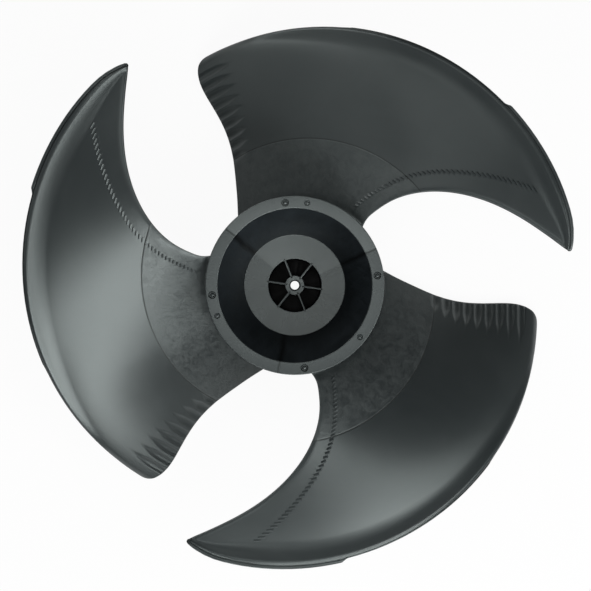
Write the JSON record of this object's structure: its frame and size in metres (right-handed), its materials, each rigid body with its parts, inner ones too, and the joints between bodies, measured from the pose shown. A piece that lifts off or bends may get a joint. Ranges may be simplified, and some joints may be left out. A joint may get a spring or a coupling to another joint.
{
  "type": "axial fan impeller",
  "caption": "Swept-blade axial fan impeller in dark moulded plastic, with a cup-shaped hub, ribbed shaft boss, turned-up blade edges and fluted trailing edges.",
  "frame": {"origin": "on the spin axis, where the shaft bore leaves the drum's far end, which is the plane the fan stands on", "axes": "+Z along the spin axis towards the motor side, where the cup opens and the air comes in; +X and +Y across the fan, with one blade's leading tip just past +X"},
  "size_m": [0.4521, 0.4562, 0.1522],
  "materials": {
    "moulded_plastic": "satin"
  },
  "bodies": {
    "root": {"impeller": "moulded_plastic"}
  },
  "joints": []
}
